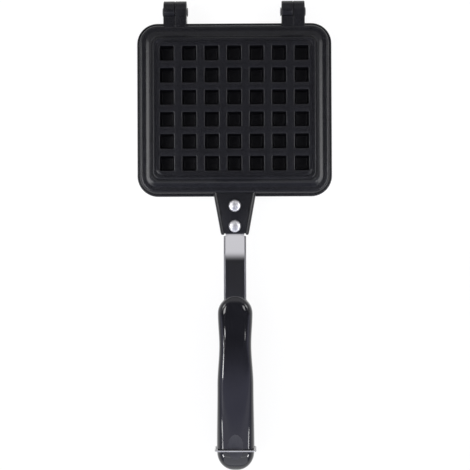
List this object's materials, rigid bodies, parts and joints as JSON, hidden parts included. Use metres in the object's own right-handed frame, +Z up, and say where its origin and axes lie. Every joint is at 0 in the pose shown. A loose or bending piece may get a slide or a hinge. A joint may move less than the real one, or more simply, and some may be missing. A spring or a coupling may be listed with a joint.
{
  "type": "stovetop waffle iron",
  "caption": "Two hinged cast pans with square waffle pits, each on a steel strip and a moulded black grip, held shut by a wire clasp over the grips.",
  "frame": {"origin": "bottom centre of the closed iron's box, on the surface that the lower pan lies on", "axes": "+Y from the grips towards the hinge, +Z up through both pans, +X to the right of a user who looks from the grips to the hinge"},
  "size_m": [0.1572, 0.3794, 0.032],
  "materials": {
    "coating": "matt black non-stick coating on cast aluminium",
    "strip_steel": "polished stainless steel",
    "grip": "glossy black phenolic moulding",
    "rivet": "bright aluminium",
    "screw": "zinc plated steel",
    "pin": "steel with dark coating overspray",
    "wire": "bright drawn steel wire"
  },
  "bodies": {
    "lower_half": {"lower_pan": "coating", "lower_bracket": "strip_steel", "lower_handle": "grip", "lower_rivet_front": "rivet", "lower_rivet_rear": "rivet", "lower_handle_screw_front": "screw", "lower_handle_screw_rear": "screw", "hinge_pin_left": "pin", "hinge_pin_right": "pin"},
    "upper_half": {"upper_pan": "coating", "upper_bracket": "strip_steel", "upper_handle": "grip", "upper_rivet_front": "rivet", "upper_rivet_rear": "rivet", "upper_handle_screw_front": "screw", "upper_handle_screw_rear": "screw"},
    "clasp": {"clasp_wire": "wire"}
  },
  "joints": [
    {"name": "lid_hinge", "type": "hinge", "parent": "lower_half", "child": "upper_half", "pos_m": [0, 0.1809, 0.016], "axis": [-1, 0, 0], "range_deg": [0, 180]},
    {"name": "clasp_swing", "type": "hinge", "parent": "lower_half", "child": "clasp", "pos_m": [0, -0.1723, 0.009], "axis": [1, 0, 0], "range_deg": [0, 108]}
  ]
}
